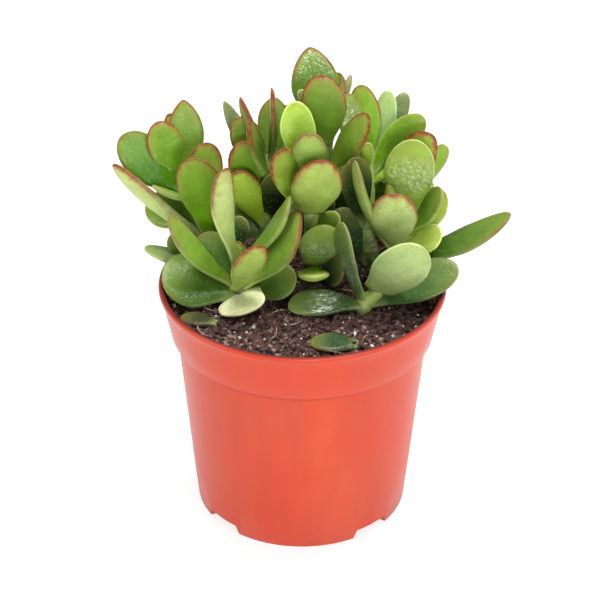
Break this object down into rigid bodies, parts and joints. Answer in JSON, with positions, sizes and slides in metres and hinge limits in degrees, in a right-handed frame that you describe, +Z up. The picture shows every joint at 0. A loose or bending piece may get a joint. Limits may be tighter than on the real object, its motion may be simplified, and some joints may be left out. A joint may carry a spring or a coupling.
{
  "type": "potted jade plant",
  "caption": "Bushy jade plant with thick, glossy, red-rimmed oval leaves on short stems, in dark soil in a round tapered terracotta-coloured plastic nursery pot.",
  "frame": {"origin": "centre of the face that the pot stands on, on the pot's axis", "axes": "+Z up along the pot's axis; the plant's front, the side with the open soil, faces -Y; +X is to the viewer's right"},
  "size_m": [0.165, 0.12, 0.194],
  "materials": {
    "pot_plastic": "satin terracotta-coloured moulded plastic",
    "soil": "rough dark peat with white perlite grains",
    "leafy_stem": "glossy waxy leaves with red-brown margins on green to brown stems",
    "dropped_leaf": "dull dry greyish-green leaf with a brown rim"
  },
  "bodies": {
    "root": {"pot": "pot_plastic", "soil": "soil", "stem_front_left": "leafy_stem", "stem_left": "leafy_stem", "stem_centre_left": "leafy_stem", "stem_back": "leafy_stem", "stem_centre": "leafy_stem", "stem_right_back": "leafy_stem", "stem_right": "leafy_stem", "stem_front_right": "leafy_stem", "dropped_leaf_front": "dropped_leaf", "dropped_leaf_left": "dropped_leaf"}
  },
  "joints": []
}
